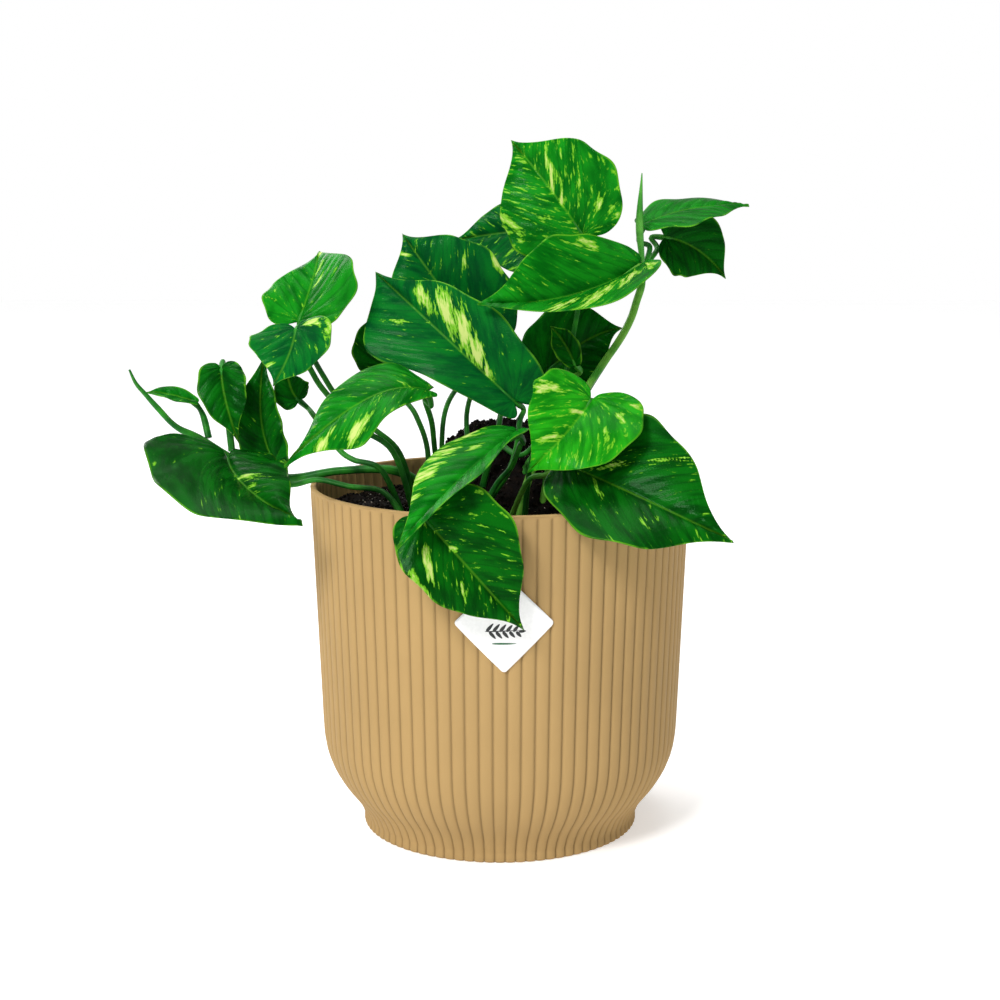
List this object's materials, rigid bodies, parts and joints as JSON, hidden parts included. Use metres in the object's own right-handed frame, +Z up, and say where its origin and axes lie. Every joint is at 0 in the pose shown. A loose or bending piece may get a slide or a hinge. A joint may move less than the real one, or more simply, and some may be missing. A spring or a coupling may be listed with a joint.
{
  "type": "potted pothos plant",
  "caption": "Potted trailing houseplant: heart-shaped variegated leaves on arching stalks with a short vine, in a ribbed cover pot with a rounded base and a plain diamond sticker.",
  "frame": {"origin": "centre of the pot's underside, on the surface it stands on", "axes": "+Z up along the pot's axis, the sticker faces -Y, the vine trails towards -X"},
  "size_m": [0.2266, 0.1597, 0.2527],
  "materials": {
    "pot": "matt",
    "label": "satin",
    "soil": "crumbly, matt",
    "leaf": "glossy, waxy, with cream-yellow variegation",
    "stalk": "satin",
    "young_leaf": "satin"
  },
  "bodies": {
    "root": {"pot": "pot", "pot_label": "label", "soil": "soil", "leaf_top": "leaf", "stalk_top": "stalk", "leaf_upper_right": "leaf", "stalk_upper_right": "stalk", "leaf_far_right": "leaf", "stalk_far_right": "stalk", "leaf_far_right_rear": "leaf", "stalk_far_right_rear": "stalk", "leaf_centre_rear": "leaf", "stalk_centre_rear": "stalk", "leaf_centre": "leaf", "stalk_centre": "stalk", "leaf_top_rear": "leaf", "stalk_top_rear": "stalk", "leaf_centre_left_rear": "leaf", "stalk_centre_left_rear": "stalk", "leaf_left_high": "leaf", "stalk_left_high": "stalk", "leaf_left_mid": "leaf", "stalk_left_mid": "stalk", "leaf_left_rear": "leaf", "stalk_left_rear": "stalk", "leaf_left_upright": "leaf", "stalk_left_upright": "stalk", "leaf_left_low": "leaf", "stalk_left_low": "stalk", "leaf_left_small": "leaf", "stalk_left_small": "stalk", "leaf_left_narrow": "leaf", "stalk_left_narrow": "stalk", "leaf_left_arching": "leaf", "stalk_left_arching": "stalk", "leaf_front_folded": "leaf", "stalk_front_folded": "stalk", "leaf_front_hanging": "leaf", "stalk_front_hanging": "stalk", "leaf_right_low": "leaf", "stalk_right_low": "stalk", "leaf_front_right": "leaf", "stalk_front_right": "stalk", "leaf_right_rear": "leaf", "stalk_right_rear": "stalk", "leaf_young": "leaf", "stalk_young": "stalk", "vine": "stalk", "leaf_spear": "young_leaf"}
  },
  "joints": []
}
